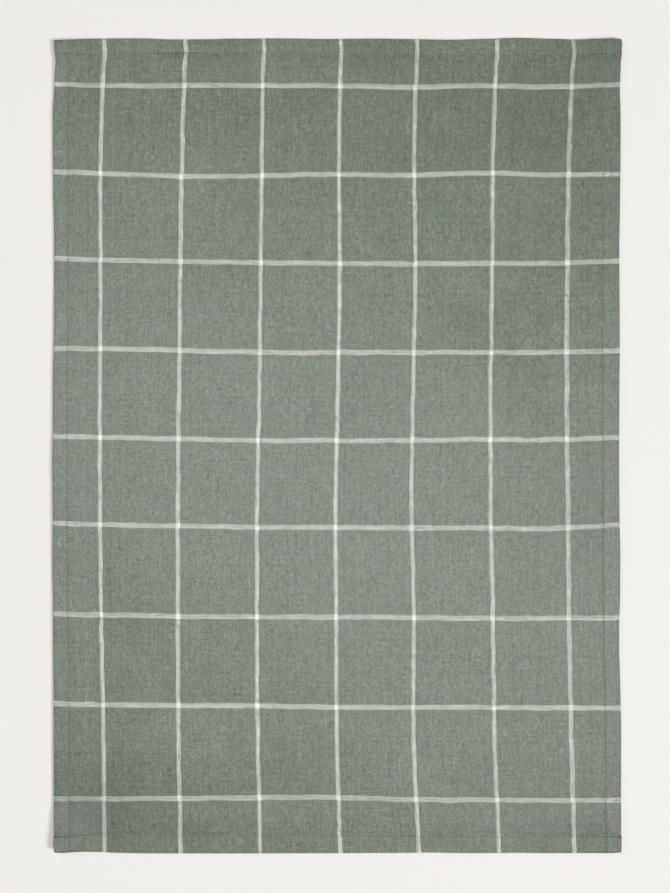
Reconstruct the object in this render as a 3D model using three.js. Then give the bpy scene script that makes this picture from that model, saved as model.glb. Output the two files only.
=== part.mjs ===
// A tea towel: one piece of woven cotton cloth, lying flat and face up, with a narrow
// double-turned hem on all four sides. The hems are folded to the back and sewn through, so
// the face shows only a line of stitches a finger's width in from each edge.
// Millimetres, +Z up. X runs across the towel and +Y towards its upper end. The origin is on
// the surface that the towel lies on, below the middle of the cloth.

import * as THREE from 'three';

// Finished size, from folded edge to folded edge
const WIDTH = 487.5;
const LENGTH = 700;

// Thickness of the cloth as it lies, and of the two layers that each hem adds under the face
const CLOTH = 1.0;
const HEM_LAYERS = 1.2;

// Distance of each line of stitches from its folded outer edge
const STITCH_IN = { left: 11.8, right: 15.3, upper: 11.8, lower: 14.3 };

// Past the stitches the hem ends in a second folded edge, and from there the face falls to
// the level of the single cloth
const FOLD_PAST_STITCH = 1.8;
const FOLD_LIP = 0.4;
const FACE_FALL = 13;

// The stitches pull the layers together in a shallow groove
const GROOVE_HALF_WIDTH = 1.2;
const GROOVE_DEPTH = 0.35;

// A folded edge is round: its wall is this share of the thickness, reached this far in
const EDGE_ROUND = 0.9;
const EDGE_WALL_SHARE = 0.4;

// The lower left corner doesn't lie down fully
const CORNER_LIFT = 3.0;
const CORNER_REACH = 60;

// Distance between two lines of faces on the single cloth
const FIELD_STEP = 24;

// How far each side runs out of true. "at" is the place along the side from the towel's
// middle, and "out" is how far the folded edge stands outside the straight side. The upper
// and lower hems were sewn after the side hems, so their folded ends stick out a little.
const LEFT_SIDE = [
  { at: -350, out: -0.9 },
  { at: -346, out: -0.6 },
  { at: -340, out: 0.0 },
  { at: -334, out: -0.6 },
  { at: -315, out: -0.3 },
  { at: -290, out: -0.1 },
  { at: -220, out: -0.1 },
  { at: -180, out: 0.3 },
  { at: -140, out: 0.4 },
  { at: -106, out: 1.0 },
  { at: -65, out: 0.6 },
  { at: -23, out: 0.9 },
  { at: 18, out: 0.5 },
  { at: 55, out: 0.4 },
  { at: 100, out: -0.3 },
  { at: 150, out: -0.5 },
  { at: 175, out: -0.5 },
  { at: 215, out: 0.2 },
  { at: 250, out: 0.6 },
  { at: 285, out: 0.6 },
  { at: 305, out: -0.4 },
  { at: 320, out: -1.1 },
  { at: 333, out: -2.2 },
  { at: 337, out: -1.3 },
  { at: 342, out: -0.5 },
  { at: 350, out: -0.5 },
];
const RIGHT_SIDE = [
  { at: -350, out: 0.3 },
  { at: -338, out: 0.7 },
  { at: -333, out: 0.2 },
  { at: -240, out: 0.3 },
  { at: -215, out: -0.3 },
  { at: -195, out: -0.8 },
  { at: -178, out: -1.4 },
  { at: -155, out: -1.4 },
  { at: -130, out: -0.6 },
  { at: -95, out: -0.5 },
  { at: -65, out: -1.2 },
  { at: -20, out: -1.6 },
  { at: 40, out: -1.4 },
  { at: 90, out: -1.0 },
  { at: 130, out: -1.2 },
  { at: 165, out: -1.4 },
  { at: 215, out: -0.7 },
  { at: 240, out: -0.3 },
  { at: 285, out: -0.2 },
  { at: 308, out: -0.8 },
  { at: 325, out: -0.3 },
  { at: 334, out: 0.0 },
  { at: 338, out: 0.9 },
  { at: 342, out: 0.5 },
  { at: 346, out: 1.3 },
  { at: 350, out: 0.4 },
];
const UPPER_END = [
  { at: -243, out: -1.3 },
  { at: -235, out: -0.9 },
  { at: -212, out: -0.1 },
  { at: -183, out: 0.3 },
  { at: -165, out: 0.1 },
  { at: -145, out: -0.7 },
  { at: -114, out: -0.5 },
  { at: -88, out: 0.0 },
  { at: -50, out: 0.2 },
  { at: -10, out: -0.3 },
  { at: 30, out: -0.1 },
  { at: 60, out: -0.4 },
  { at: 95, out: -0.9 },
  { at: 125, out: -0.2 },
  { at: 150, out: 0.7 },
  { at: 165, out: 0.5 },
  { at: 185, out: -0.1 },
  { at: 205, out: -0.7 },
  { at: 222, out: -0.2 },
  { at: 238, out: 0.3 },
  { at: 243, out: -0.3 },
];
const LOWER_END = [
  { at: -243, out: -0.8 },
  { at: -239, out: -0.4 },
  { at: -222, out: -1.2 },
  { at: -205, out: -0.8 },
  { at: -190, out: 0.1 },
  { at: -160, out: 0.5 },
  { at: -90, out: 0.6 },
  { at: -20, out: 0.4 },
  { at: 50, out: 0.1 },
  { at: 76, out: -0.2 },
  { at: 110, out: 0.3 },
  { at: 150, out: 0.0 },
  { at: 175, out: 0.3 },
  { at: 235, out: 0.1 },
  { at: 243, out: -0.5 },
];

// Soft swells where the cloth stands off the surface: the middle of each, its reach across
// and along the towel, and its height
const SWELLS = [
  { x: -128, y: 285, across: 60, along: 95, rise: 1.1 },
  { x: 45, y: 325, across: 70, along: 60, rise: 0.8 },
  { x: 165, y: 250, across: 85, along: 75, rise: 1.0 },
  { x: -95, y: 105, across: 80, along: 85, rise: 0.8 },
  { x: 120, y: 60, across: 75, along: 80, rise: 0.9 },
  { x: 110, y: -120, across: 90, along: 85, rise: 1.3 },
  { x: -150, y: -110, across: 80, along: 75, rise: 0.8 },
  { x: -140, y: -285, across: 95, along: 75, rise: 1.2 },
  { x: 60, y: -300, across: 80, along: 60, rise: 0.8 },
  { x: 205, y: -300, across: 55, along: 60, rise: 0.7 },
];

// Value of a table at a place, eased from row to row
function fromTable(rows, at) {
  const last = rows.length - 1;
  if (at <= rows[0].at) return rows[0].out;
  if (at >= rows[last].at) return rows[last].out;
  const next = rows.findIndex((row) => row.at > at);
  const before = rows[next - 1];
  const after = rows[next];
  const share = THREE.MathUtils.smoothstep(at, before.at, after.at);
  return THREE.MathUtils.lerp(before.out, after.out, share);
}

// A soft hump: 1 in the middle, falling to 0 at a distance of 1
function hump(distance) {
  return Math.abs(distance) < 1 ? 0.5 + 0.5 * Math.cos(Math.PI * distance) : 0;
}

// Height by which the whole cloth stands off the surface at a point
function standOff(x, y) {
  const swells = SWELLS.map(
    (swell) => swell.rise * hump((x - swell.x) / swell.across) * hump((y - swell.y) / swell.along)
  );
  const fromCorner = Math.hypot(x + WIDTH / 2, y + LENGTH / 2) / CORNER_REACH;
  const corner = CORNER_LIFT * Math.max(0, 1 - fromCorner) ** 2;
  return swells.reduce((sum, height) => sum + height, corner);
}

// Places across one hem, as distances in from its folded outer edge: the round edge, both
// sides and the bottom of the groove, the inner fold and its lip, and the fall of the face
function hemPlaces(stitchIn) {
  const fold = stitchIn + FOLD_PAST_STITCH;
  return [
    0,
    EDGE_ROUND,
    stitchIn - GROOVE_HALF_WIDTH,
    stitchIn,
    stitchIn + GROOVE_HALF_WIDTH,
    fold,
    fold + FOLD_LIP,
    fold + FACE_FALL / 2,
    fold + FACE_FALL,
  ];
}

// Places from one side of the cloth to the other: a hem, even steps over the field, a hem
function placesOver(span, nearStitch, farStitch) {
  const near = hemPlaces(nearStitch).map((inward) => inward - span / 2);
  const far = hemPlaces(farStitch).map((inward) => span / 2 - inward).reverse();
  const start = near[near.length - 1];
  const end = far[0];
  const steps = Math.round((end - start) / FIELD_STEP);
  const field = Array.from({ length: steps - 1 }, (_, i) => start + ((end - start) * (i + 1)) / steps);
  return [...near, ...field, ...far];
}

// What the hem nearest to a place does there: how much it lifts the face, whether its folded
// layers lie below, how deep the groove is, and whether the place is on the outer edge
function hemAt(place, span, nearStitch, farStitch) {
  const nearer = place < 0;
  const inward = nearer ? place + span / 2 : span / 2 - place;
  const stitchIn = nearer ? nearStitch : farStitch;
  const fold = stitchIn + FOLD_PAST_STITCH;
  const groove = Math.max(0, 1 - Math.abs(inward - stitchIn) / GROOVE_HALF_WIDTH);
  const tiny = 1e-6;
  return {
    lift: HEM_LAYERS * (1 - THREE.MathUtils.smoothstep(inward, fold, fold + FACE_FALL)),
    layered: inward < fold + tiny,
    groove: groove * GROOVE_DEPTH,
    edge: inward < tiny,
  };
}

// Face and back of the cloth at one place, as two points
function clothAt(across, along) {
  const side = hemAt(across, WIDTH, STITCH_IN.left, STITCH_IN.right);
  const end = hemAt(along, LENGTH, STITCH_IN.lower, STITCH_IN.upper);

  // The sides' unevenness fades evenly from one side of the cloth to the other
  const shareX = across / WIDTH + 0.5;
  const shareY = along / LENGTH + 0.5;
  const shiftX = THREE.MathUtils.lerp(-fromTable(LEFT_SIDE, along), fromTable(RIGHT_SIDE, along), shareX);
  const shiftY = THREE.MathUtils.lerp(-fromTable(LOWER_END, across), fromTable(UPPER_END, across), shareY);
  const x = across + shiftX;
  const y = along + shiftY;

  // Below the layers of a hem the back lies on the surface, and beside them it is one
  // cloth's thickness under the face. The end hems' layers cover the ends of the side hems.
  let face = CLOTH + side.lift + end.lift - Math.max(side.groove, end.groove);
  let back = end.layered ? 0 : end.lift + (side.layered ? 0 : side.lift);
  if (side.edge || end.edge) {
    const squeeze = ((face - back) * (1 - EDGE_WALL_SHARE)) / 2;
    face -= squeeze;
    back += squeeze;
  }
  const lift = standOff(across, along);
  return { face: [x, y, face + lift], back: [x, y, back + lift] };
}

// The closed solid: the face's grid, the back's grid, and a wall round the folded edges
function clothGeometry() {
  const columns = placesOver(WIDTH, STITCH_IN.left, STITCH_IN.right);
  const rows = placesOver(LENGTH, STITCH_IN.lower, STITCH_IN.upper);
  const points = rows.flatMap((along) => columns.map((across) => clothAt(across, along)));
  const backStart = points.length;
  const positions = [...points.flatMap((point) => point.face), ...points.flatMap((point) => point.back)];

  const triangles = [];
  for (let row = 0; row < rows.length - 1; row += 1) {
    for (let column = 0; column < columns.length - 1; column += 1) {
      const a = row * columns.length + column;
      const b = a + 1;
      const c = a + columns.length;
      const d = c + 1;
      triangles.push(a, b, d, a, d, c);
      triangles.push(backStart + a, backStart + d, backStart + b);
      triangles.push(backStart + a, backStart + c, backStart + d);
    }
  }

  // The rim runs anticlockwise, seen from above: lower end, right side, upper end, left side
  const lastColumn = columns.length - 1;
  const lastRow = rows.length - 1;
  const rim = [];
  for (let column = 0; column < lastColumn; column += 1) rim.push(column);
  for (let row = 0; row < lastRow; row += 1) rim.push(row * columns.length + lastColumn);
  for (let column = lastColumn; column > 0; column -= 1) rim.push(lastRow * columns.length + column);
  for (let row = lastRow; row > 0; row -= 1) rim.push(row * columns.length);
  rim.forEach((here, i) => {
    const next = rim[(i + 1) % rim.length];
    triangles.push(backStart + here, backStart + next, next);
    triangles.push(backStart + here, next, here);
  });

  const geometry = new THREE.BufferGeometry();
  geometry.setAttribute('position', new THREE.Float32BufferAttribute(positions, 3));
  geometry.setIndex(triangles);
  geometry.computeVertexNormals();
  return geometry;
}

// Sage green cotton, matt
const cotton = new THREE.MeshStandardMaterial({ color: 0x858d82, roughness: 0.95, metalness: 0 });

const cloth = new THREE.Mesh(clothGeometry(), cotton);
cloth.name = 'towel_cloth';

const group = new THREE.Group();
group.add(cloth);

export default group;
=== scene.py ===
# %% [markdown]
# A tea towel, laid flat
#
# A tea towel is one piece of plain woven cotton with its four sides turned over twice and
# sewn down. This lesson makes the cloth as one long surface that really runs round its
# folds, lays the stitches on it, and paints the weave yarn by yarn, so that the check comes
# from white yarns in the warp and in the weft, as it does on the loom.

import bpy
import numpy as np
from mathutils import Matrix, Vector


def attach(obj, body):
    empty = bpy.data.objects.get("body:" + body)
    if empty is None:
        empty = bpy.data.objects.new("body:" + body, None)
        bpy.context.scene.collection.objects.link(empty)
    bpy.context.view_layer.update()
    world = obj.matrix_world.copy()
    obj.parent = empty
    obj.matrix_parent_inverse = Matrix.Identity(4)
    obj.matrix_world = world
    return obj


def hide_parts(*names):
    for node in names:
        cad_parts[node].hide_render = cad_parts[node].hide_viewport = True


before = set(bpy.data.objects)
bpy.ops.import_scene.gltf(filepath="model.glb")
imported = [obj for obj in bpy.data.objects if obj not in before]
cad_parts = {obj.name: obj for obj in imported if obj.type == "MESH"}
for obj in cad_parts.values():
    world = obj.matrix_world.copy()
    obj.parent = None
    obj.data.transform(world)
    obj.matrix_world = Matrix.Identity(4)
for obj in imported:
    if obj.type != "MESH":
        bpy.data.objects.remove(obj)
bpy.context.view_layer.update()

# %% [markdown]
# Sizes first. Everything is in metres, so a millimetre is a named value and the sizes read
# as a maker would say them. A hem is three layers of cloth: the face, a back layer, and a
# middle layer that ends in the raw edge. Where a side hem is folded into an end hem, nine
# layers lie on each other, and there they are pressed closer together.

# %% Sizes of the towel
MM = 0.001
WIDTH = 487.5 * MM
LENGTH = 700 * MM
STITCH_IN = {"left": 11.8 * MM, "right": 14.7 * MM, "upper": 11.2 * MM, "lower": 14.3 * MM}
FOLD_PAST_STITCH = 1.8 * MM  # from the line of stitches on to the inner fold
RAW_EDGE_IN = 3.2 * MM  # from the outer edge in to the raw edge between the layers
FACE_FALL = 34 * MM  # over this length the face comes down beside a hem

CLOTH = 0.36 * MM  # thickness of the cloth
LAYER = 0.40 * MM  # from one layer of a hem to the next
PRESSED_LAYER = 0.30 * MM  # the same where a side hem lies inside an end hem
CLEAR = 0.22 * MM  # the stitches under it keep the cloth this far off the surface
FIELD_STEP = 4.1 * MM  # from one place to the next on the open field


def stitch_lines(span, near_stitch, far_stitch):
    """Where the stitches of two opposite hems run, measured from the towel's middle."""
    return near_stitch - span / 2, span / 2 - far_stitch


STITCHES_X = stitch_lines(WIDTH, STITCH_IN["left"], STITCH_IN["right"])
STITCHES_Y = stitch_lines(LENGTH, STITCH_IN["lower"], STITCH_IN["upper"])
print("stitch lines across and along, mm:", [round(v / MM, 1) for v in STITCHES_X + STITCHES_Y])

# %% [markdown]
# A cross-section is a list of places that the cloth passes. Each place says where it is in
# a hem by shares of the fold's own sizes, so the same list serves a thin hem and a thick
# corner. It starts at the raw edge, runs inwards as the middle layer, turns over the inner
# fold, runs out again as the back layer, turns round the outer edge and ends on the face.

# %% The cross-section of a hem
BESIDE_STITCH = np.array([-1.6, -1.1, -0.6, -0.2, 0.2, 0.6, 1.1]) * MM
PAST_TURN = 0.35 * MM  # the first place on the face, past the outer turn
NEAR_EDGE = 3 * MM  # the second, in from the outer edge
SHORT_OF_FOLD = 0.3 * MM  # the last place on the face before it begins to fall
FALL_SHARES = np.array([0.03, 0.2, 0.4, 0.6, 0.8, 1.0])  # places along the fall


def places(**shares):
    """A block of places along the cloth. Shares that aren't given are 0."""
    count = max(np.size(share) for share in shares.values())
    names = ("own", "outer", "inner", "middle", "back", "face_in", "face_up")
    return {name: np.broadcast_to(shares.get(name, 0.0), count).astype(float) for name in names}


def joined(*blocks):
    """Blocks of places in one, in their order along the cloth."""
    return {name: np.concatenate([block[name] for block in blocks]) for name in blocks[0]}


def hem_places(stitch_in):
    """A hem from its raw edge to the start of the field.

    inward = own + outer * R + inner * r and depth = middle * M + back * B, where M and B are
    the depths of the middle and back layers below the face, R = B / 2 is the radius of the
    outer edge and r = (B - M) / 2 that of the inner fold. face_in and face_up are the
    direction in which the cloth's right side looks there.
    """
    fold_in = stitch_in + FOLD_PAST_STITCH
    share = np.linspace(0, 1, 4)
    turn_in = np.linspace(0, np.pi, 7)[1:]
    turn_out = np.linspace(0, np.pi, 9)[1:]
    return joined(
        places(own=RAW_EDGE_IN + (fold_in - RAW_EDGE_IN) * share, inner=-share, middle=1, face_up=1),
        places(own=fold_in, inner=np.sin(turn_in) - 1, middle=(1 + np.cos(turn_in)) / 2,
               back=(1 - np.cos(turn_in)) / 2, face_in=np.sin(turn_in), face_up=np.cos(turn_in)),
        places(own=np.append(stitch_in + BESIDE_STITCH[::-1], stitch_in / 2), back=1, face_up=-1),
        places(outer=[1], back=1, face_up=-1),
        places(outer=1 - np.sin(turn_out), back=(1 + np.cos(turn_out)) / 2,
               face_in=-np.sin(turn_out), face_up=-np.cos(turn_out)),
        places(own=PAST_TURN, outer=1, face_up=1),
        places(own=[NEAR_EDGE, stitch_in / 2], face_up=1),
        places(own=np.append(stitch_in + BESIDE_STITCH, fold_in - SHORT_OF_FOLD), face_up=1),
        places(own=fold_in + FACE_FALL * FALL_SHARES, face_up=1),
    )


def folded(section, middle_depth, back_depth):
    """How far in from the outer edge each place lies, and how deep below the face."""
    outer_radius = back_depth / 2
    inner_radius = (back_depth - middle_depth) / 2
    inward = section["own"] + section["outer"] * outer_radius + section["inner"] * inner_radius
    depth = section["middle"] * middle_depth + section["back"] * back_depth
    return inward, depth


# %% The cross-section from side to side
def with_run(section, side, span):
    """Adds the side a place belongs to (-1 or 1) and its place along the flat cloth.

    The place on the flat cloth is the length of the path from the face, so that the pattern
    runs on over the folds unstretched.
    """
    inward, depth = folded(section, LAYER, 2 * LAYER)
    steps = np.hypot(np.diff(inward), np.diff(depth))
    run = np.append(0, np.cumsum(steps))
    run += inward[-1] - run[-1]
    section["side"] = np.full(len(run), float(side))
    section["flat"] = side * (span / 2 - run)
    return section


def section_over(span, near_stitch, far_stitch):
    """Hem, even steps over the field, hem, from the lower or left side to the other."""
    near = with_run(hem_places(near_stitch), -1, span)
    far = with_run(hem_places(far_stitch), 1, span)
    far = {name: values[::-1] for name, values in far.items()}
    start, end = near["flat"][-1], far["flat"][0]
    steps = int(round((end - start) / FIELD_STEP))
    return joined(near, on_face(np.linspace(start, end, steps + 1)[1:-1], span), far)


def on_face(flat, span):
    """Places on the right side of the cloth, at these distances from the towel's middle."""
    flat = np.asarray(flat, float)
    section = places(own=span / 2 - np.abs(flat), face_up=1)
    section["side"] = np.where(flat < 0, -1.0, 1.0)
    section["flat"] = flat
    return section


across = section_over(WIDTH, STITCH_IN["left"], STITCH_IN["right"])
along = section_over(LENGTH, STITCH_IN["lower"], STITCH_IN["upper"])
print("places across and along:", len(across["flat"]), len(along["flat"]))

# %% [markdown]
# No woven check is quite straight. On this towel the white lines bow to the left below the
# middle, and the lines across dip and rise from one square to the next. The tables say, in
# millimetres, how far each line stands off its true place at even stations, and how far the
# four outer edges stand out. A smooth curve through the stations moves everything between.

# %% How far the lines run out of true
CHECK_ACROSS = 67.1 * MM
CHECK_ALONG = 76.7 * MM
WARP_LINE_AT = 0.7 * MM  # the middle one of the seven lines that run along the towel
WEFT_LINE_AT = 4.1 * MM  # the middle one of the nine lines that run across it

# Shift to the right of each line along the towel, from the lower end to the upper end
STATIONS_ALONG = np.linspace(-LENGTH / 2, LENGTH / 2, 8)
WARP_SHIFTS = {
    "left stitches": [1.0, 1.0, 0.0, -0.5, -0.5, 0.0, 0.0, 0.5],
    "line 1": [0.5, -0.5, -2.5, -3.5, -3.5, -3.0, -3.0, 0.5],
    "line 2": [-1.0, -3.0, -3.5, -3.5, -2.5, -1.5, 0.0, 3.0],
    "line 3": [0.5, -2.0, -2.5, -2.5, -0.5, 0.5, 1.5, 3.0],
    "line 4": [2.0, -1.0, -1.5, -2.0, 0.0, 1.5, 1.0, 2.5],
    "line 5": [2.5, -2.0, -2.0, -4.0, -2.5, -0.5, -1.5, 1.0],
    "line 6": [4.5, 0.5, -1.0, -3.0, -3.0, -1.5, -1.0, 2.5],
    "line 7": [2.0, -0.5, -2.5, -3.5, -4.5, -4.0, -2.5, 1.5],
    "right stitches": [2.0, 2.0, 0.0, 0.0, -0.5, -0.5, 0.0, 0.5],
}

# The upper seam pushed the cloth to the right as it was sewn, by this much at each of the
# seven lines. The push dies out beside the seam.
SEAM_PUSH = [0.6, 0.8, 0.5, 0.7, 0.5, 1.0, 1.1]
SEAM_PUSH_REACH = 12 * MM

# Shift upwards of each line across the towel, from the left side to the right side
STATIONS_ACROSS = np.linspace(-WIDTH / 2, WIDTH / 2, 9)
WEFT_SHIFTS = {
    "line 9": [-1.0, -1.0, -0.5, 0.0, 0.0, -1.5, -2.0, -2.5, -2.0],
    "line 8": [4.0, 3.0, 2.5, 2.0, 1.0, 1.0, 1.0, 0.5, 0.5],
    "line 7": [4.5, 3.5, 2.5, 2.0, 2.0, 1.5, 1.0, 1.0, 1.5],
    "line 6": [6.0, 4.5, 3.5, 2.5, 2.5, 2.0, 2.0, 1.5, 4.5],
    "line 5": [4.0, 3.0, 1.5, 0.5, 0.5, 0.5, 1.5, 1.0, 3.0],
    "line 4": [3.0, 2.5, 1.0, -0.5, -0.5, -0.5, -0.5, -0.5, 1.0],
    "line 3": [3.5, 2.0, 1.0, 0.0, -0.5, -1.0, -0.5, -0.5, 1.5],
    "line 2": [1.5, -0.5, -2.5, -1.5, -0.5, -1.5, 0.5, -1.0, -0.5],
    "line 1": [0.0, -1.0, -1.0, -1.0, -1.0, -2.5, -1.0, -2.0, -0.5],
}

# How far each outer edge stands out of its straight side, as (place along the side, out)
EDGE_OUT = {
    "left": [(-350, -0.9), (-346, -0.6), (-340, 0.0), (-334, -0.6), (-315, -0.3), (-290, -0.1),
             (-220, -0.1), (-180, 0.3), (-140, 0.4), (-106, 1.0), (-65, 0.6), (-23, 0.9),
             (18, 0.5), (55, 0.4), (100, -0.3), (150, -0.5), (175, -0.5), (215, 0.2), (250, 0.6),
             (285, 0.6), (305, -0.4), (320, -1.1), (333, -2.2), (337, -1.3), (342, -0.5),
             (350, -0.5)],
    "right": [(-350, 0.3), (-338, 0.7), (-333, 0.2), (-240, 0.3), (-215, -0.3), (-195, -0.8),
              (-178, -1.4), (-155, -1.4), (-130, -0.6), (-95, -0.5), (-65, -1.2), (-20, -1.6),
              (40, -1.4), (90, -1.0), (130, -1.2), (165, -1.4), (215, -0.7), (240, -0.3),
              (285, -0.2), (308, -0.8), (325, -0.3), (334, 0.0), (338, 0.9), (342, 0.5),
              (346, 1.3), (350, 0.4)],
    "upper": [(-243, -1.3), (-235, -0.9), (-212, -0.1), (-183, 0.3), (-165, 0.1), (-145, -0.7),
              (-114, -0.5), (-88, 0.0), (-50, 0.2), (-10, -0.3), (30, -0.1), (60, -0.4),
              (95, -0.9), (125, -0.2), (150, 0.7), (165, 0.5), (185, -0.1), (205, -0.7),
              (222, -0.2), (238, 0.3), (243, -0.3)],
    "lower": [(-243, -0.8), (-239, -0.4), (-222, -1.2), (-205, -0.8), (-190, 0.1), (-160, 0.5),
              (-90, 0.6), (-20, 0.4), (50, 0.1), (76, -0.2), (110, 0.3), (150, 0.0), (175, 0.3),
              (235, 0.1), (243, -0.5)],
}


# %% Smooth curves through the tables
def eased(x):
    """0 below 0, 1 above 1, and a soft S between: 3x^2 - 2x^3."""
    x = np.clip(x, 0, 1)
    return x * x * (3 - 2 * x)


def hump(distance):
    """1 in the middle, falling to 0 at a distance of 1, as half a cosine wave does."""
    return np.where(np.abs(distance) < 1, 0.5 + 0.5 * np.cos(np.pi * distance), 0)


def from_rows(rows, at):
    """The amount at each place, eased from row to row of a table of (place, amount)."""
    places_at, amounts = np.array(rows).T * MM
    before = np.clip(np.searchsorted(places_at, at) - 1, 0, len(rows) - 2)
    share = (at - places_at[before]) / (places_at[before + 1] - places_at[before])
    return amounts[before] + (amounts[before + 1] - amounts[before]) * eased(share)


def curve_weights(at, stations):
    """Weights that draw a smooth curve through values at stations, one row for each place.

    The curve is a cubic between two stations, and its slope at a station is that of the
    straight line between the station's two neighbours.
    """
    stations = np.asarray(stations, float)
    slopes = np.gradient(np.eye(len(stations)), stations, axis=0)
    before = np.clip(np.searchsorted(stations, at) - 1, 0, len(stations) - 2)
    gap = stations[before + 1] - stations[before]
    t = np.clip((at - stations[before]) / gap, 0, 1)[:, None]
    start, end = np.eye(len(stations))[before], np.eye(len(stations))[before + 1]
    rise = gap[:, None]
    return (start * (1 + 2 * t) * (1 - t) ** 2 + end * t * t * (3 - 2 * t)
            + slopes[before] * rise * t * (1 - t) ** 2 - slopes[before + 1] * rise * t * t * (1 - t))


def shifts(flat_x, flat_y):
    """Sideways and lengthways shifts of the cloth, as two grids of rows by columns.

    Along each line the table's curve is followed, and from line to line another curve.
    """
    line_x = WARP_LINE_AT + CHECK_ACROSS * np.arange(-3, 4)
    stations_x = np.concatenate([[-WIDTH / 2, STITCHES_X[0]], line_x, [STITCHES_X[1], WIDTH / 2]])
    lines_x = curve_weights(flat_y, STATIONS_ALONG) @ np.array(list(WARP_SHIFTS.values())).T * MM
    lines_x[:, 1:-1] += np.outer(hump((flat_y - STITCHES_Y[1]) / SEAM_PUSH_REACH), SEAM_PUSH) * MM
    left_edge, right_edge = -from_rows(EDGE_OUT["left"], flat_y), from_rows(EDGE_OUT["right"], flat_y)
    lines_x = np.column_stack([left_edge, lines_x, right_edge])

    line_y = WEFT_LINE_AT + CHECK_ALONG * np.arange(-4, 5)
    stations_y = np.concatenate([[-LENGTH / 2], line_y, [LENGTH / 2]])
    lines_y = curve_weights(flat_x, STATIONS_ACROSS) @ np.array(list(WEFT_SHIFTS.values())).T * MM
    lower_edge, upper_edge = -from_rows(EDGE_OUT["lower"], flat_x), from_rows(EDGE_OUT["upper"], flat_x)
    lines_y = np.column_stack([lower_edge, lines_y, upper_edge])
    shift_x = lines_x @ curve_weights(flat_x, stations_x).T
    shift_y = curve_weights(flat_y, stations_y) @ lines_y.T
    return shift_x, shift_y


# %% [markdown]
# A towel that was folded in a drawer never lies down fully. The swells are the solid
# model's own, and between them come small waves left by washing and pressing. They are sums
# of sines with seeded phases, so they are the same at every run. The side hems stand off by
# up to 1.3 millimetres here and there, and one corner by three. All of this only lifts the
# cloth, because below it is the surface.

# %% Swells, small waves and the lifted corner
SWELLS = [
    {"x": -128, "y": 285, "across": 60, "along": 95, "rise": 1.1},
    {"x": 45, "y": 325, "across": 70, "along": 60, "rise": 0.8},
    {"x": 165, "y": 250, "across": 85, "along": 75, "rise": 1.0},
    {"x": -95, "y": 105, "across": 80, "along": 85, "rise": 0.8},
    {"x": 120, "y": 60, "across": 75, "along": 80, "rise": 0.9},
    {"x": 110, "y": -120, "across": 90, "along": 85, "rise": 1.3},
    {"x": -150, "y": -110, "across": 80, "along": 75, "rise": 0.8},
    {"x": -140, "y": -285, "across": 95, "along": 75, "rise": 1.2},
    {"x": 60, "y": -300, "across": 80, "along": 60, "rise": 0.8},
    {"x": 205, "y": -300, "across": 55, "along": 60, "rise": 0.7},
]
CORNER_LIFT = 3.0 * MM
CORNER_REACH = 60 * MM
WAVE_HEIGHT = 0.22 * MM
WAVE_COUNT = 8
WAVE_LENGTH = (28, 75)  # the shortest and the longest, in millimetres
WAVE_SEED = 7
WAVE_SQUEEZE = 3  # sums beyond this hardly count

# How far the two side hems stand off the surface, as (place along the side, lift)
SIDE_LIFTS = {
    "left": [(-350, 0.1), (-310, 0.6), (-260, 0.9), (-130, 0.6), (-20, 1.1), (60, 0.6),
             (150, 0.3), (280, 0.5), (350, 0.5)],
    "right": [(-350, 0.4), (-250, 0.6), (-100, 0.9), (60, 1.3), (200, 0.9), (350, 0.5)],
}
LIFT_REACH = 38 * MM


def small_waves(x, y):
    """A sum of sines in seeded directions, squeezed to lie between 0 and 1."""
    draw = np.random.default_rng(WAVE_SEED)
    total = np.zeros_like(x)
    for _ in range(WAVE_COUNT):
        angle, phase = draw.uniform(0, np.pi), draw.uniform(0, 2 * np.pi)
        length = draw.uniform(*WAVE_LENGTH) * MM
        total += np.sin((x * np.cos(angle) + y * np.sin(angle)) * 2 * np.pi / length + phase)
    return 0.5 + 0.5 * np.tanh(total / WAVE_SQUEEZE)


def stand_off(x, y):
    """Height of the whole cloth off the surface at a place."""
    lift = WAVE_HEIGHT * small_waves(x, y)
    for s in SWELLS:
        reach = hump((x / MM - s["x"]) / s["across"]) * hump((y / MM - s["y"]) / s["along"])
        lift = lift + s["rise"] * MM * reach
    for side, inward in (("left", x + WIDTH / 2), ("right", WIDTH / 2 - x)):
        lift = lift + from_rows(SIDE_LIFTS[side], y) * np.clip(1 - inward / LIFT_REACH, 0, 1) ** 2
    from_corner = np.hypot(x + WIDTH / 2, y + LENGTH / 2) / CORNER_REACH
    return lift + CORNER_LIFT * np.clip(1 - from_corner, 0, 1) ** 2


# %% [markdown]
# Now the cloth is laid. The side hems are folded first, and then the end hems fold the
# cloth with its side hems inside, as at the sewing machine. The face stands higher over the
# layers of a hem and falls to the single cloth beside it, the stitches pinch the layers
# together, and at one place in the upper hem the seam gapes a little.

# %% Lay the cloth
PINCH = {"left": 0.07, "right": 0.16, "upper": 0.04, "lower": 0.08}  # share of the thickness
PINCH_REACH = 1.15 * MM
LIP_AT, LIP_REACH = 1.5 * PINCH_REACH, 2 * PINCH_REACH  # the lip of a bite, outwards of its seam
THINNEST = 0.4  # no pinch leaves less than this share of the cloth's own thickness

# Where an end seam bites deeper: its end (-1 lower, 1 upper), from and to in millimetres, the
# further share of the thickness, how far the hem's edge stands up beside it, and how much
# light is lost in the gap
BITES = [
    {"end": 1, "from": -164, "to": -113, "extra": 0.50, "lip": 0.40, "shade": 0.50},
    {"end": -1, "from": -250, "to": -224, "extra": 0.20, "lip": 0.00, "shade": 0.05},
    {"end": -1, "from": 234, "to": 252, "extra": 0.35, "lip": 0.15, "shade": 0.25},
]
BITE_END = 8  # millimetres over which a bite begins and ends


def beyond_stitches(at, lines):
    """Distance from the nearer line of stitches, positive towards the outer edge."""
    return np.maximum(lines[0] - at, at - lines[1])


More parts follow.
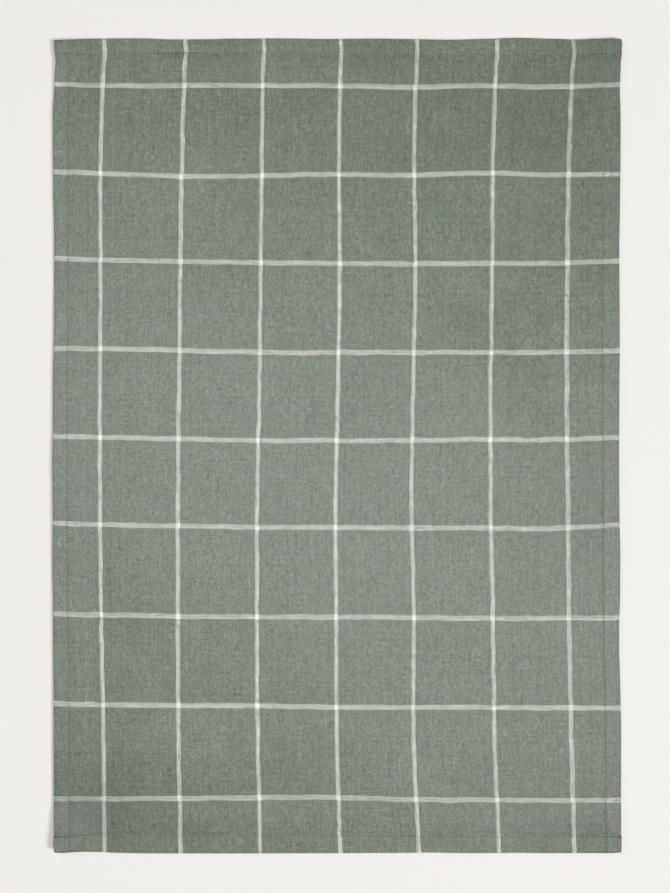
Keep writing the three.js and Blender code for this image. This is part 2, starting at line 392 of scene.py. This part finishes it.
def over_hem(at, lines):
    """1 over a hem's layers, falling to 0 where the face has come down beside them."""
    past_fold = -beyond_stitches(at, lines) - FOLD_PAST_STITCH
    return 1 - eased(past_fold / FACE_FALL)


def end_grip(x, y):
    """The share of an end hem's thickness that its stitches take, and the height of its lip."""
    grip = np.where(y < 0, PINCH["lower"], PINCH["upper"])
    lip = np.zeros_like(grip)
    for bite in BITES:
        begun = eased((x / MM - bite["from"]) / BITE_END)
        ended = eased((bite["to"] - x / MM) / BITE_END)
        stretch = begun * ended * (np.sign(y) == bite["end"])
        grip = grip + bite["extra"] * stretch
        lip = lip + bite["lip"] * MM * stretch
    return grip, lip


def lay(columns, rows):
    """The cloth's middle surface (rows, columns, 3), its thickness, and two distances.

    First the side hems: depth below the face from their cross-section. Then the end hems:
    the face's path over the fold, with the side hems' layers that much behind it. Over a
    side hem each layer of an end hem is three layers, so the middle ones begin three steps
    down and the back ones end eight steps down. The distances are those to the nearest side
    and end stitches, for the material.
    """
    side_in, side_depth = folded(columns, LAYER, 2 * LAYER)
    x = columns["side"] * (WIDTH / 2 - side_in)
    on_side = over_hem(x, STITCHES_X)
    middle_depth = LAYER + (3 * PRESSED_LAYER - LAYER) * on_side
    back_depth = 2 * LAYER + (8 * PRESSED_LAYER - 2 * LAYER) * on_side

    tall = {name: values[:, None] for name, values in rows.items()}
    end_in, end_depth = folded(tall, middle_depth, back_depth)
    y = tall["side"] * (LENGTH / 2 - end_in)
    on_end = over_hem(y, STITCHES_Y)
    squash = 1 + (PRESSED_LAYER / LAYER - 1) * on_side * on_end
    behind = side_depth * squash

    stack = 2 * LAYER * (on_side + on_end) + (8 * PRESSED_LAYER - 4 * LAYER) * on_side * on_end
    height = stack - end_depth - tall["face_up"] * behind
    place_x = np.broadcast_to(x, y.shape)
    place_y = y + tall["side"] * tall["face_in"] * behind

    from_side, from_end = beyond_stitches(place_x, STITCHES_X), beyond_stitches(y, STITCHES_Y)
    side_pinch = np.where(place_x < 0, PINCH["left"], PINCH["right"])
    end_pinch, lip = end_grip(place_x, y)
    slack = 1 - side_pinch * hump(from_side / PINCH_REACH)
    slack = slack * (1 - end_pinch * hump(from_end / PINCH_REACH))
    lip = lip * hump((from_end - LIP_AT) / LIP_REACH) * (height / stack.max())
    z = stack / 2 + (height - stack / 2) * slack + lip

    flat_y = rows["side"] * (LENGTH / 2 - folded(rows, LAYER, 2 * LAYER)[0])
    shift_x, shift_y = shifts(x, flat_y)
    thickness = CLOTH * squash * np.maximum(slack, THINNEST)
    lift = stand_off(place_x, y) + CLEAR + CLOTH / 2
    middle = np.stack([place_x + shift_x, place_y + shift_y, z + lift], axis=-1)
    return middle, thickness, from_side, from_end


def right_side(surface, face_up=None):
    """Unit vectors out of the cloth's right side: the cross product of its two directions."""
    out = np.cross(np.gradient(surface, axis=1), np.gradient(surface, axis=0))
    out /= np.linalg.norm(out, axis=-1, keepdims=True)
    return out if face_up is None else out * np.sign(out[..., 2:] * face_up)


middle, thickness, from_side, from_end = lay(across, along)
outward = right_side(middle)
print("cloth, mm:", np.round(np.ptp(middle.reshape(-1, 3), axis=0) / MM, 1))

# %% [markdown]
# The middle surface gets its thickness by a step out along its right side and one back, and
# a narrow wall closes the raw edges. Two maps go with it: "yarns" holds the place on the
# flat cloth in metres, so the weave follows every fold and bow, and "seams" holds the
# distances to the stitches.

# %% From surface to mesh
def grid_faces(rows, columns, start=0):
    """Quads of a grid of points, numbered row by row, that look along its right side."""
    corner = start + np.arange(rows * columns).reshape(rows, columns)
    quads = np.stack([corner[:-1, :-1], corner[:-1, 1:], corner[1:, 1:], corner[1:, :-1]], -1)
    return quads.reshape(-1, 4)


def mesh_object(name, points, faces, maps=None):
    """A smooth mesh object in the scene, with a map for each name, given per point."""
    mesh = bpy.data.meshes.new(name)
    mesh.from_pydata(points, [], faces)
    mesh.polygons.foreach_set("use_smooth", np.ones(len(mesh.polygons), bool))
    corners = np.empty(len(mesh.loops), np.int32)
    mesh.loops.foreach_get("vertex_index", corners)
    for map_name, values in (maps or {}).items():
        layer = mesh.uv_layers.new(name=map_name)
        layer.uv.foreach_set("vector", values[corners].astype(np.float32).ravel())
    mesh.validate()
    made = bpy.data.objects.new(name, mesh)
    bpy.context.scene.collection.objects.link(made)
    return made


def cloth_object(name):
    """Both sides of the cloth and the wall along its raw edges, as one closed mesh."""
    rows, columns = thickness.shape
    half = outward * thickness[..., None] / 2
    points = np.concatenate([(middle + half).reshape(-1, 3), (middle - half).reshape(-1, 3)])
    face = grid_faces(rows, columns)
    wrong_side = grid_faces(rows, columns, rows * columns)[:, ::-1]
    number = np.arange(rows * columns).reshape(rows, columns)
    rim = np.concatenate([number[0, :-1], number[:-1, -1], number[-1, :0:-1], number[:0:-1, 0]])
    after = np.roll(rim, -1)
    wall = np.stack([rim + rows * columns, after + rows * columns, after, rim], -1)

    flat = np.stack(np.meshgrid(across["flat"], along["flat"]), -1).reshape(-1, 2)
    seams = np.stack([from_side, from_end], -1).reshape(-1, 2)
    maps = {"yarns": np.tile(flat, (2, 1)), "seams": np.tile(seams, (2, 1))}
    return mesh_object(name, points, np.concatenate([face, wrong_side, wall]), maps)


cloth = cloth_object("tea_towel_cloth")
print("faces of the cloth:", len(cloth.data.polygons))

# %% [markdown]
# A sewing machine leaves a row of short threads on each side of the cloth: each comes up
# through a needle hole, lies in the groove and goes down the next hole. Each is a small tube
# along a flat arc whose ends dip into the cloth. All of them are worked out at once, as one
# array of stitches, rings and points, and there are under forty faces in each.

# %% Stitches
STITCH = 2.5 * MM
THREAD = 0.36 * MM  # thickness of the thread
# The arc of one stitch: places along it, heights over the cloth, and shares of the thickness
ARC_ALONG = np.array([-1.0, -0.78, -0.36, 0.36, 0.78, 1.0]) * MM
ARC_RISE = np.array([-0.30, 0.06, 0.17, 0.17, 0.06, -0.30]) * MM
ARC_SWELL = np.array([0.55, 0.9, 1.0, 1.0, 0.9, 0.55])
LAIN_ON = 0.15 * MM  # how far the towel's weight presses the threads under it into the cloth
RING = np.linspace(0, 2 * np.pi, 6, endpoint=False)
SEAM_ENDS_IN = 1.5 * MM  # a seam ends this far in from the outer edge
INSIDE_ENDS_IN = 4 * MM  # on the back a side seam ends this far before the end seam
BESIDE_THREAD = np.array([-0.2, 0, 0.2]) * MM


def back_layer(inward, side):
    """One place on a hem's back layer, that far in from the outer edge."""
    section = places(own=np.asarray(inward, float), back=1, face_up=-1)
    section["side"] = np.full(np.size(inward), float(side))
    section["flat"] = np.zeros(np.size(inward))
    return section


def stitch_row(line, across_line, start, end, layer):
    """A row of stitches from start to end along a hem, on the face or the back layer.

    The row runs across the towel or along it, at the distance "line" from its middle. The
    surface is laid at three places beside each other under every ring of every stitch, which
    gives the thread's place and the direction out of the cloth.
    """
    number = np.arange(np.ceil(start / STITCH), np.floor(end / STITCH))
    at = ((number + 0.5) * STITCH)[:, None] + ARC_ALONG
    span = WIDTH if across_line else LENGTH
    other = LENGTH if across_line else WIDTH
    run = on_face(at.ravel(), span)
    if layer == "face":
        strip, up, rise = on_face(line + BESIDE_THREAD, other), 1, ARC_RISE
    else:
        strip = back_layer(other / 2 - abs(line) + BESIDE_THREAD, np.sign(line))
        up, rise = -1, ARC_RISE - LAIN_ON
    if across_line:
        surface, thick, _, _ = lay(run, strip)
        surface, thick = surface.transpose(1, 0, 2), thick.T
    else:
        surface, thick, _, _ = lay(strip, run)
    out = right_side(surface, up)[:, 1]
    centre = (surface[:, 1] + out * thick[:, 1:2] / 2).reshape(*at.shape, 3)
    out = out.reshape(*at.shape, 3)
    centre = centre + out * rise[:, None]
    ahead = np.gradient(centre, axis=1)
    ahead /= np.linalg.norm(ahead, axis=-1, keepdims=True)
    beside_thread = np.cross(ahead, out)
    beside_thread /= np.linalg.norm(beside_thread, axis=-1, keepdims=True)
    above = np.cross(beside_thread, ahead)
    around = (np.cos(RING)[:, None] * beside_thread[:, :, None]
              + np.sin(RING)[:, None] * above[:, :, None])
    return centre[:, :, None] + around * (THREAD / 2 * ARC_SWELL)[:, None, None]


def stitch_object(name, rings):
    """One mesh of all stitches: quads between the rings of each, and a cap at both ends."""
    count, along_count, around_count, _ = rings.shape
    number = np.arange(count * along_count * around_count).reshape(count, along_count, around_count)
    turned = np.roll(number, -1, axis=2)
    quads = np.stack([number[:, :-1], number[:, 1:], turned[:, 1:], turned[:, :-1]], -1)
    caps = np.concatenate([number[:, 0], number[:, -1, ::-1]])
    return mesh_object(name, rings.reshape(-1, 3), quads.reshape(-1, 4).tolist() + caps.tolist())


end_x, end_y = WIDTH / 2 - SEAM_ENDS_IN, LENGTH / 2 - SEAM_ENDS_IN
inside_y = (STITCHES_Y[0] + INSIDE_ENDS_IN, STITCHES_Y[1] - INSIDE_ENDS_IN)
face_rows = [stitch_row(x, False, -end_y, end_y, "face") for x in STITCHES_X]
face_rows += [stitch_row(y, True, -end_x, end_x, "face") for y in STITCHES_Y]
back_rows = [stitch_row(x, False, *inside_y, "back") for x in STITCHES_X]
back_rows += [stitch_row(y, True, -end_x, end_x, "back") for y in STITCHES_Y]
face_stitches = stitch_object("face_stitches", np.concatenate(face_rows))
back_stitches = stitch_object("back_stitches", np.concatenate(back_rows))
print("stitches on the face and the back:", sum(map(len, face_rows)), sum(map(len, back_rows)))

# %% [markdown]
# Materials are graphs of nodes, and sums written as Python read better than boxes and
# wires. Wire wraps a socket, so that an expression such as 1 - mask adds its Math nodes.
# Paint holds a material and adds any other node: its settings first, then its sockets.

# %% A small language for materials
class Wire:
    """A number on its way through a material. Operators add Math nodes."""

    def __init__(self, paint, socket):
        self.paint, self.socket = paint, socket

    def math(self, operation, *others):
        """A Math node on this number and the others."""
        values = dict(enumerate((self, *others)))
        return self.paint.node("ShaderNodeMath", {"operation": operation}, values)

    def __add__(self, other):
        return self.math("ADD", other)

    __radd__ = __add__

    def __mul__(self, other):
        return self.math("MULTIPLY", other)

    __rmul__ = __mul__

    def __sub__(self, other):
        return self.math("SUBTRACT", other)

    def __rsub__(self, other):
        return (self * -1) + other

    def __truediv__(self, other):
        return self.math("DIVIDE", other)

    def __lt__(self, other):
        return self.math("LESS_THAN", other)

    def clamped(self):
        """The number, held between 0 and 1."""
        return self.math("MAXIMUM", 0).math("MINIMUM", 1)


class Paint:
    """A material under construction."""

    def __init__(self, name):
        self.material = bpy.data.materials.new(name)
        self.material.use_nodes = True
        self.tree = self.material.node_tree
        self.tree.nodes.clear()

    def node(self, kind, settings=None, values=None, output=0):
        """Adds a node and returns one of its outputs as a Wire."""
        made = self.tree.nodes.new(kind)
        for name, value in (settings or {}).items():
            setattr(made, name, value)
        for name, value in (values or {}).items():
            socket = made.inputs[name]
            if isinstance(value, Wire):
                self.tree.links.new(value.socket, socket)
            else:
                socket.default_value = value
        return Wire(self, made.outputs[output]) if made.outputs else None

    def pair(self, x, y):
        """Two numbers as a place."""
        return self.node("ShaderNodeCombineXYZ", {}, {"X": x, "Y": y})

    def map(self, name):
        """The two numbers of a UV map."""
        both = self.node("ShaderNodeUVMap", {"uv_map": name})
        return [self.node("ShaderNodeSeparateXYZ", {}, {0: both}, output) for output in (0, 1)]

    def noise(self, place, scale, detail=2.0):
        """Soft noise about 0, most of it between -0.5 and 0.5, with "scale" swings to a unit."""
        values = {"Vector": place, "Scale": scale, "Detail": detail}
        return self.node("ShaderNodeTexNoise", {"noise_dimensions": "2D"}, values) - 0.5

    def chance(self, number):
        """A fixed random number from -0.5 to 0.5 for each whole number."""
        return self.node("ShaderNodeTexWhiteNoise", {"noise_dimensions": "1D"}, {"W": number}) - 0.5

    def mixed(self, share, first, second):
        """Two colours mixed."""
        return self.node("ShaderNodeMix", {"data_type": "RGBA"}, {0: share, 6: first, 7: second}, 2)

    def toned(self, colour, tone):
        """A colour made lighter or darker by a factor."""
        return self.node("ShaderNodeVectorMath", {"operation": "SCALE"}, {0: colour, "Scale": tone})


# %% [markdown]
# Plain weave: every warp end goes over one weft pick and under the next. Both yarns are
# round, and both swing up and down as sines of the place along them. The one that is higher
# at a point shows there, and the higher of the two heights is the relief. The lines of the
# check need no drawing: four ends in every seventy-eight and five picks in every
# eighty-nine are white, and where both are white the square is whitest.

# %% The yarns of a plain weave
ENDS_PER_CHECK, WHITE_ENDS = 78, 4
PICKS_PER_CHECK, WHITE_PICKS = 89, 5
END = CHECK_ACROSS / ENDS_PER_CHECK
PICK = CHECK_ALONG / PICKS_PER_CHECK
ROUNDNESS = 3.4  # a yarn's height falls by this times the squared distance from its middle
SWING = 0.5
WARP_LEAD = 0.13  # the warp lies a little higher, so more of it shows
LEAD_CHANGE, LEAD_SCALE = 0.5, 75.0  # and that changes from place to place
YARN_EDGE = 5  # how sharply one yarn ends at the next
YARN_BLEND = 0.2  # how softly the relief passes from one yarn to the next
END_SEED, PICK_SEED = 0.37, 51.9
YARN_TONE = 0.22  # no two yarns are quite alike
CROSSING_TONE = 0.45  # no two crossings catch the light alike
DYE = {"scale": 48.0, "detail": 3.0, "contrast": 2.4, "middle": 0.45}  # where it took well
GREEN = (0.163, 0.211, 0.149, 1)
GREEN_WEFT = (0.136, 0.176, 0.124, 1)
GREY = (0.179, 0.206, 0.160, 1)  # the same yarns where the dye took less well
GREY_WEFT = (0.149, 0.171, 0.134, 1)
WHITE = (0.758, 0.792, 0.713, 1)

# What makes a yarn uneven. "apart" keeps the noise of one yarn off the next one's, "along" is
# the number of swings from one crossing to the next, and "share" is the part in the tone.
UNEVEN = {
    "slubs": {"apart": 7.31, "along": 0.045, "detail": 3.0, "share": 0.5},
    "dashes": {"apart": 5.13, "along": 0.13, "detail": 1.0, "share": 1.0},
    "fibres": {"apart": 3.17, "along": 0.9, "detail": 1.0, "share": 1.3},
}
# The fine streaks that slant round a spun yarn
STRANDS = {"across": 5, "slant": 0.9, "along": 0.6, "detail": 2.0, "share": 0.7}


def one_yarn(paint, place, along_place, seed):
    """What a yarn is at a place counted in yarns: its number, roundness, side and tone."""
    number = place.math("FLOOR")
    off_centre = place - number - 0.5
    roundness = 1 - off_centre * off_centre * ROUNDNESS
    side = 1 - number.math("FLOORED_MODULO", 2) * 2
    tone = 1 + paint.chance(number + seed) * YARN_TONE
    for part in UNEVEN.values():
        spot = paint.pair(number * part["apart"] + seed, along_place * part["along"])
        tone = tone + paint.noise(spot, 1.0, part["detail"]) * part["share"]
    slanting = place * STRANDS["across"] + along_place * STRANDS["slant"]
    spot = paint.pair(slanting, along_place * STRANDS["along"])
    strands = paint.noise(spot, 1.0, STRANDS["detail"])
    return number, roundness, side, tone + strands * STRANDS["share"]


def weave(paint, x, y):
    """The colour and the relief (0 to about 1.5) of the woven cloth at a place in metres."""
    end_place = (x - WARP_LINE_AT) / END + WHITE_ENDS / 2
    pick_place = (y - WEFT_LINE_AT) / PICK + WHITE_PICKS / 2
    end, end_round, end_side, end_tone = one_yarn(paint, end_place, pick_place, END_SEED)
    pick, pick_round, pick_side, pick_tone = one_yarn(paint, pick_place, end_place, PICK_SEED)

    over_pick = (pick_place * np.pi).math("SINE")
    over_end = (end_place * np.pi).math("SINE")
    lead = paint.noise(paint.pair(x, y), LEAD_SCALE) * LEAD_CHANGE + WARP_LEAD
    warp_height = end_round + end_side * over_pick * SWING + lead
    weft_height = pick_round - pick_side * over_end * SWING
    warp_shows = ((warp_height - weft_height) * YARN_EDGE + 0.5).clamped()
    relief = warp_height.math("SMOOTH_MAX", weft_height, YARN_BLEND)

    white_end = end.math("FLOORED_MODULO", ENDS_PER_CHECK) < WHITE_ENDS - 0.5
    white_pick = pick.math("FLOORED_MODULO", PICKS_PER_CHECK) < WHITE_PICKS - 0.5
    dye_noise = paint.noise(paint.pair(y, x), DYE["scale"], DYE["detail"])
    dyed = (dye_noise * DYE["contrast"] + DYE["middle"]).clamped()
    warp = paint.mixed(white_end, paint.mixed(dyed, GREY, GREEN), WHITE)
    weft = paint.mixed(white_pick, paint.mixed(dyed, GREY_WEFT, GREEN_WEFT), WHITE)
    warp, weft = paint.toned(warp, end_tone), paint.toned(weft, pick_tone)
    crossing = paint.node("ShaderNodeTexWhiteNoise", {"noise_dimensions": "2D"},
                          {"Vector": paint.pair(end, pick)}) - 0.5
    return paint.toned(paint.mixed(warp_shows, weft, warp), crossing * CROSSING_TONE + 1), relief


# %% [markdown]
# The cloth is painted deeper in one place and paler in another. The hems are painted paler
# than the field, each side is painted darker about halfway along as painted shade, and a
# short table of soft round patches paints light and shade. The needle holes lie on the seams,
# one at each end of every stitch, and where a seam bites deeper, less light reaches the gap.

# %% What sewing leaves on the cloth, and painted light and shade
HOLE_ACROSS = 0.8 * MM
HOLE_ALONG = 0.34  # of a stitch
GAP_ACROSS = 0.75 * MM
HEM_PALER = {"side": 0.07, "end": 0.14}  # the hems are painted paler than the field
PALER_FROM = 1.5  # it begins this many times FOLD_PAST_STITCH inside the stitches

# Painted shade along the two sides, about halfway along: full over a strip at the edge, then fading
SIDE_SHADE_TONE = -0.10
SIDE_SHADE_AT, SIDE_SHADE_ALONG = -20 * MM, 330 * MM
SIDE_SHADE_STRIP, SIDE_SHADE_FADE = 24.5 * MM, 35 * MM

# Painted light and shade: soft patches deeper or paler in tone, place and reach in millimetres on the
# flat cloth
LIGHT_AND_SHADE_PATCHES = [
    {"x": 245, "y": 352, "reach": 150, "tone": -0.24},
    {"x": 222, "y": 325, "reach": 45, "tone": -0.10},
    {"x": 222, "y": -325, "reach": 45, "tone": -0.10},
    {"x": 225, "y": -70, "reach": 90, "tone": -0.06},
    {"x": -245, "y": 352, "reach": 90, "tone": -0.12},
    {"x": -215, "y": 318, "reach": 55, "tone": -0.21},
    {"x": -245, "y": -352, "reach": 150, "tone": -0.28},
    {"x": -215, "y": -318, "reach": 55, "tone": -0.26},
    {"x": 245, "y": -352, "reach": 130, "tone": -0.16},
    {"x": 130, "y": -352, "reach": 110, "tone": -0.11},
    {"x": -100, "y": 352, "reach": 110, "tone": -0.08},
    {"x": -165, "y": -125, "reach": 120, "tone": 0.07},
    {"x": -150, "y": -240, "reach": 120, "tone": 0.07},
    {"x": 100, "y": 155, "reach": 110, "tone": 0.05},
    {"x": 0, "y": 20, "reach": 110, "tone": -0.04},
    {"x": 40, "y": 352, "reach": 140, "tone": -0.11},
    {"x": -50, "y": -352, "reach": 130, "tone": -0.09},
]


def needle_holes(distance, along_place):
    """1 in the holes: near the seam, and near a whole number of stitches along it."""
    across_part = (1 - distance.math("ABSOLUTE") / HOLE_ACROSS).clamped()
    in_stitch = (along_place / STITCH).math("FRACT")
    to_hole = in_stitch.math("MINIMUM", 1 - in_stitch)
    return across_part * (1 - to_hole / HOLE_ALONG).clamped()


def gap_shade(x, y, end_seam):
    """The share of the light that is left on the cloth in the bites of the end seams."""
    near_seam = (1 - end_seam.math("ABSOLUTE") / GAP_ACROSS).clamped()
    left_over = 1
    for bite in BITES:
        begun = ((x - bite["from"] * MM) / (BITE_END * MM)).clamped()
        ended = ((bite["to"] * MM - x) / (BITE_END * MM)).clamped()
        at_end = (y * -bite["end"]) < 0
        left_over = (1 - near_seam * begun * ended * at_end * bite["shade"]) * left_over
    return left_over


def painted_light_and_shade(paint, x, y, side_seam, end_seam):
    """The tone painted over the weave, mostly painted light and shade.

    The hems are painted paler, the two sides are painted darker about halfway along as
    painted shade, and each patch of painted light or shade changes the tone by 1 + tone * near^2.
    """
    tone = 1
    # The hems are painted paler than the field
    for seam, paler in ((side_seam, HEM_PALER["side"]), (end_seam, HEM_PALER["end"])):
        tone = ((seam / FOLD_PAST_STITCH + PALER_FROM).clamped() * paler + 1) * tone
    # Painted shade: each side darker about halfway along
    fades_from = WIDTH / 2 - SIDE_SHADE_STRIP - SIDE_SHADE_FADE
    at_side = ((x.math("ABSOLUTE") - fades_from) / SIDE_SHADE_FADE).clamped()
    halfway = (1 - (y - SIDE_SHADE_AT).math("ABSOLUTE") / SIDE_SHADE_ALONG).clamped()
    tone = tone * (at_side * halfway * SIDE_SHADE_TONE + 1)
    place = paint.pair(x, y)
    # Soft patches of painted light and shade
    for patch in LIGHT_AND_SHADE_PATCHES:
        ends = {0: place, 1: (patch["x"] * MM, patch["y"] * MM, 0)}
        distance = paint.node("ShaderNodeVectorMath", {"operation": "DISTANCE"}, ends, 1)
        near = (1 - distance / (patch["reach"] * MM)).clamped()
        tone = tone * (near * near * patch["tone"] + 1)
    return tone


# %% [markdown]
# The cotton itself is rough, with a little shine from its combed fibres. Most of its life is
# in the relief of the yarns, which goes into a Bump node, and in the shade between them. The
# shine is a thin coat, whose weight can fall to nothing in the needle holes.

# %% The cloth's material
RELIEF_HEIGHT = 0.11 * MM
HOLE_SHADE, HOLE_DEPTH = 0.95, 1.5  # the light lost, and the depth in heights of the relief
FIBRE_SHINE = 0.55
WANDER, WANDER_SCALE, WANDER_APART = 2.0 * MM, 70.0, 0.7
CLOUDS = {"scale": 22.0, "detail": 3.0, "share": 0.06}
BETWEEN_YARNS, ON_YARNS = 0.42, 0.44  # the light that is left deep down, and what height adds
FUZZ_SCALE, FUZZ_HEIGHT, FUZZ_ROUGH = 2600.0, 0.35, 0.1
ROUGH = 0.86
BUMP_STRENGTH = 0.9


def checked_cotton():
    """The woven cloth, from its two maps."""
    paint = Paint("checked_cotton")
    x, y = paint.map("yarns")
    side_seam, end_seam = paint.map("seams")
    place = paint.pair(x, y)

    # Yarns aren't laid perfectly straight: they wander by about half a millimetre
    x_wander = paint.noise(place, WANDER_SCALE) * WANDER
    y_wander = paint.noise(paint.pair(y + WANDER_APART, x), WANDER_SCALE) * WANDER
    colour, relief = weave(paint, x + x_wander, y + y_wander)

    # Light sinks in between the yarns and in the needle holes
    holes = needle_holes(side_seam, y).math("MAXIMUM", needle_holes(end_seam, x))
    clouds = paint.noise(place, CLOUDS["scale"], CLOUDS["detail"])
    shade = (BETWEEN_YARNS + relief * ON_YARNS) * (1 - holes * HOLE_SHADE)
    shade = shade * (1 + clouds * CLOUDS["share"])
    # Painted shade in the seam gaps, and painted light and shade along the sides and in patches
    shade = shade * gap_shade(x, y, end_seam) * painted_light_and_shade(paint, x, y, side_seam, end_seam)
    colour = paint.toned(colour, shade)

    fuzz = paint.noise(place, FUZZ_SCALE)
    height = (relief + fuzz * FUZZ_HEIGHT - holes * HOLE_DEPTH) * RELIEF_HEIGHT
    bump = {"Height": height, "Distance": 1.0, "Strength": BUMP_STRENGTH}
    normal = paint.node("ShaderNodeBump", {}, bump)
    rough = (ROUGH + fuzz * FUZZ_ROUGH).clamped()
    surface = paint.node("ShaderNodeBsdfPrincipled", {}, {
        "Base Color": colour, "Roughness": rough, "Normal": normal,
        "Specular IOR Level": 0.2, "Sheen Weight": 0.05, "Sheen Roughness": 0.45,
        "Coat Weight": (1 - holes) * FIBRE_SHINE, "Coat Roughness": 0.32,
    })
    paint.node("ShaderNodeOutputMaterial", {}, {"Surface": surface})
    return paint.material


cloth.data.materials.append(checked_cotton())
print("nodes in the cloth's material:", len(cloth.data.materials[0].node_tree.nodes))

# %% [markdown]
# The thread is spun from plies, which show as a slanting twist, and it is dyed a shade
# lighter than the cloth. The twist is a fine wave along the thread in object space.

# %% The thread's material
THREAD_DEEP, THREAD_PALE = (0.29, 0.33, 0.27, 1), (0.46, 0.505, 0.44, 1)
TWIST_SCALE, TWIST_WAVER, TWIST_HEIGHT = 900.0, 0.6, 0.03 * MM


def sewing_thread():
    """Two tones of one colour, turn about in slanting bands."""
    paint = Paint("sewing_thread")
    place = paint.node("ShaderNodeTexCoord", output=3)
    twist = paint.node("ShaderNodeTexWave", {"wave_type": "BANDS", "bands_direction": "DIAGONAL"},
                       {"Vector": place, "Scale": TWIST_SCALE, "Distortion": TWIST_WAVER}, 1)
    colour = paint.mixed(twist, THREAD_DEEP, THREAD_PALE)
    normal = paint.node("ShaderNodeBump", {}, {"Height": twist * TWIST_HEIGHT, "Distance": 1.0})
    surface = paint.node("ShaderNodeBsdfPrincipled", {}, {
        "Base Color": colour, "Roughness": 0.6, "Normal": normal,
        "Specular IOR Level": 0.4, "Sheen Weight": 0.1,
    })
    paint.node("ShaderNodeOutputMaterial", {}, {"Surface": surface})
    return paint.material


thread_paint = sewing_thread()
for stitches in (face_stitches, back_stitches):
    stitches.data.materials.append(thread_paint)

# %% [markdown]
# The setting is plain: a pale matt floor, two soft lamps almost overhead, a larger one from
# the right that draws the thin shadow along the left edge, a weak one from the upper left
# for the faint shadow on the other sides, and an even glow all round. The camera looks
# straight down through a long lens.

# %% Floor
FLOOR_SIZE = 12.0
FLOOR_COLOUR = (0.872, 0.851, 0.819, 1)


def pale_floor():
    """Matt and even."""
    paint = Paint("pale_floor")
    surface = paint.node("ShaderNodeBsdfPrincipled", {}, {
        "Base Color": FLOOR_COLOUR, "Roughness": 0.9, "Specular IOR Level": 0.1})
    paint.node("ShaderNodeOutputMaterial", {}, {"Surface": surface})
    return paint.material


corners = np.array([[-1, -1, 0], [1, -1, 0], [1, 1, 0], [-1, 1, 0]]) * FLOOR_SIZE / 2
floor = mesh_object("floor", corners, [[0, 1, 2, 3]])
floor.data.materials.append(pale_floor())

# %% Lamps and glow
LAMPS = [
    {"name": "overhead", "place": (0.40, -0.38, 3.5), "size": 1.0, "power": 33},
    {"name": "beside_it", "place": (-0.49, 0.19, 3.5), "size": 1.0, "power": 29},
    {"name": "from_the_right", "place": (7.4, -4.2, 6.6), "size": 4.0, "power": 760},
    {"name": "from_the_left", "place": (-6.4, 5.2, 4.6), "size": 4.0, "power": 125},
]
GLOW = 0.08


def lamp(name, place, size, power):
    """A square lamp that looks at the middle of the towel."""
    data = bpy.data.lights.new(name, "AREA")
    data.shape, data.size, data.energy = "SQUARE", size, power
    made = bpy.data.objects.new(name, data)
    made.location = place
    made.rotation_euler = (-Vector(place)).to_track_quat("-Z", "Y").to_euler()
    bpy.context.scene.collection.objects.link(made)


for row in LAMPS:
    lamp(row["name"], row["place"], row["size"], row["power"])
world = bpy.data.worlds.new("glow")
world.use_nodes = True
background = world.node_tree.nodes["Background"]
background.inputs["Color"].default_value = (1, 1, 1, 1)
background.inputs["Strength"].default_value = GLOW
bpy.context.scene.world = world
bpy.context.scene.view_settings.view_transform = "Standard"
print("lamps, watts:", {row["name"]: row["power"] for row in LAMPS})

# %% Camera
PICTURE_ROWS = 893
ROW = 0.8608 * MM  # what one row of the picture shows
PICTURE_MIDDLE = (-1.9 * MM, -0.6 * MM)
LENS, SENSOR = 85.0, 36.0  # millimetres, the sensor along the longer side of the picture

camera_data = bpy.data.cameras.new("camera")
camera_data.sensor_width = SENSOR
camera_data.lens = LENS
camera = bpy.data.objects.new("camera", camera_data)
camera.location = (*PICTURE_MIDDLE, PICTURE_ROWS * ROW * LENS / SENSOR)
bpy.context.scene.collection.objects.link(camera)
bpy.context.scene.camera = camera
print("camera height, m:", round(camera.location.z, 3))

# %% [markdown]
# Last, each piece is tied to the frame: the cloth stands for the solid towel, the stitches
# belong to the cloth, and the floor is only the stage.

# %% Tie the pieces to the frame
for piece in (cloth, face_stitches, back_stitches):
    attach(piece, "root")
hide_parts("towel_cloth")
